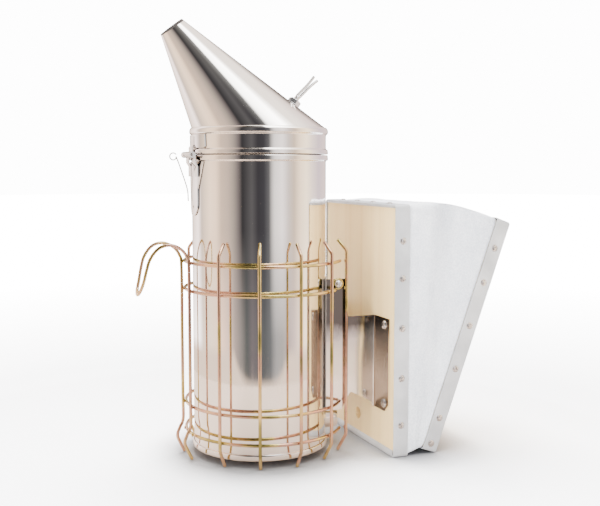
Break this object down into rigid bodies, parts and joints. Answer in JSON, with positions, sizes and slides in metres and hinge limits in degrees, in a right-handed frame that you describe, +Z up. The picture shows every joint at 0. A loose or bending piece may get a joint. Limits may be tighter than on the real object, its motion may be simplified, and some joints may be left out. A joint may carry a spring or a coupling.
{
  "type": "bee smoker",
  "caption": "Hand bee smoker: cylindrical steel fire pot with a hinged leaning cone lid, wire heat guard with a hanging hook, and wedge leather bellows on a folded bracket.",
  "frame": {"origin": "centre of the fire pot's underside, on the pot's axis", "axes": "+Z up the pot's axis, +X toward the bellows, -X toward the funnel mouth and the hook"},
  "size_m": [0.2795, 0.128, 0.3259],
  "materials": {
    "mirror_steel": "mirror-polished stainless sheet",
    "zinc_wire": "yellow passivated zinc on steel wire",
    "bright_zinc": "bright zinc plate",
    "birch": "planed bare birch",
    "grey_strip": "satin sheet strip",
    "white_leather": "fine-grained matte",
    "dark_steel": "plain steel"
  },
  "bodies": {
    "smoker_frame": {"pot_body": "mirror_steel", "pot_base": "mirror_steel", "inlet_tube": "mirror_steel", "hinge_strap": "mirror_steel", "bellows_bracket": "mirror_steel", "guard_ring_1": "zinc_wire", "guard_ring_2": "zinc_wire", "guard_ring_3": "zinc_wire", "guard_ring_4": "zinc_wire", "guard_hook": "zinc_wire", "guard_upright_left_1": "zinc_wire", "guard_upright_left_2": "zinc_wire", "guard_upright_left_3": "zinc_wire", "guard_upright_left_4": "zinc_wire", "guard_upright_left_5": "zinc_wire", "guard_upright_right_1": "zinc_wire", "guard_upright_right_2": "zinc_wire", "guard_upright_right_3": "zinc_wire", "guard_upright_right_4": "zinc_wire", "guard_upright_right_5": "zinc_wire", "hinge_pin": "bright_zinc", "lid_stop_wire": "bright_zinc", "guard_screw_left": "bright_zinc", "guard_screw_right": "bright_zinc", "board_screw_left_1": "bright_zinc", "board_screw_left_2": "bright_zinc", "board_screw_right_1": "bright_zinc", "board_screw_right_2": "bright_zinc", "front_board": "birch", "front_strip": "grey_strip", "bellows_leather": "white_leather", "fire_grate": "dark_steel", "grate_foot_1": "dark_steel", "grate_foot_2": "dark_steel", "grate_foot_3": "dark_steel", "bellows_spring": "dark_steel"},
    "lid": {"lid_collar": "mirror_steel", "lid_cone": "mirror_steel", "hinge_leaf": "mirror_steel", "lift_stud": "bright_zinc", "lift_nut": "bright_zinc", "lift_wire": "bright_zinc"},
    "pressing_board": {"rear_board": "birch", "rear_strip": "grey_strip"}
  },
  "joints": [
    {"name": "lid_hinge", "type": "hinge", "parent": "smoker_frame", "child": "lid", "pos_m": [-0.0554, 0, 0.2226], "axis": [0, -1, 0], "range_deg": [0, 90]},
    {"name": "bellows_press", "type": "hinge", "parent": "smoker_frame", "child": "pressing_board", "pos_m": [0.102, 0, -0.002], "axis": [0, -1, 0], "range_deg": [0, 17], "stiffness_Nm_per_rad": 0.6, "springref_deg": -34.38, "deforming": ["bellows_leather", "bellows_spring"]}
  ]
}
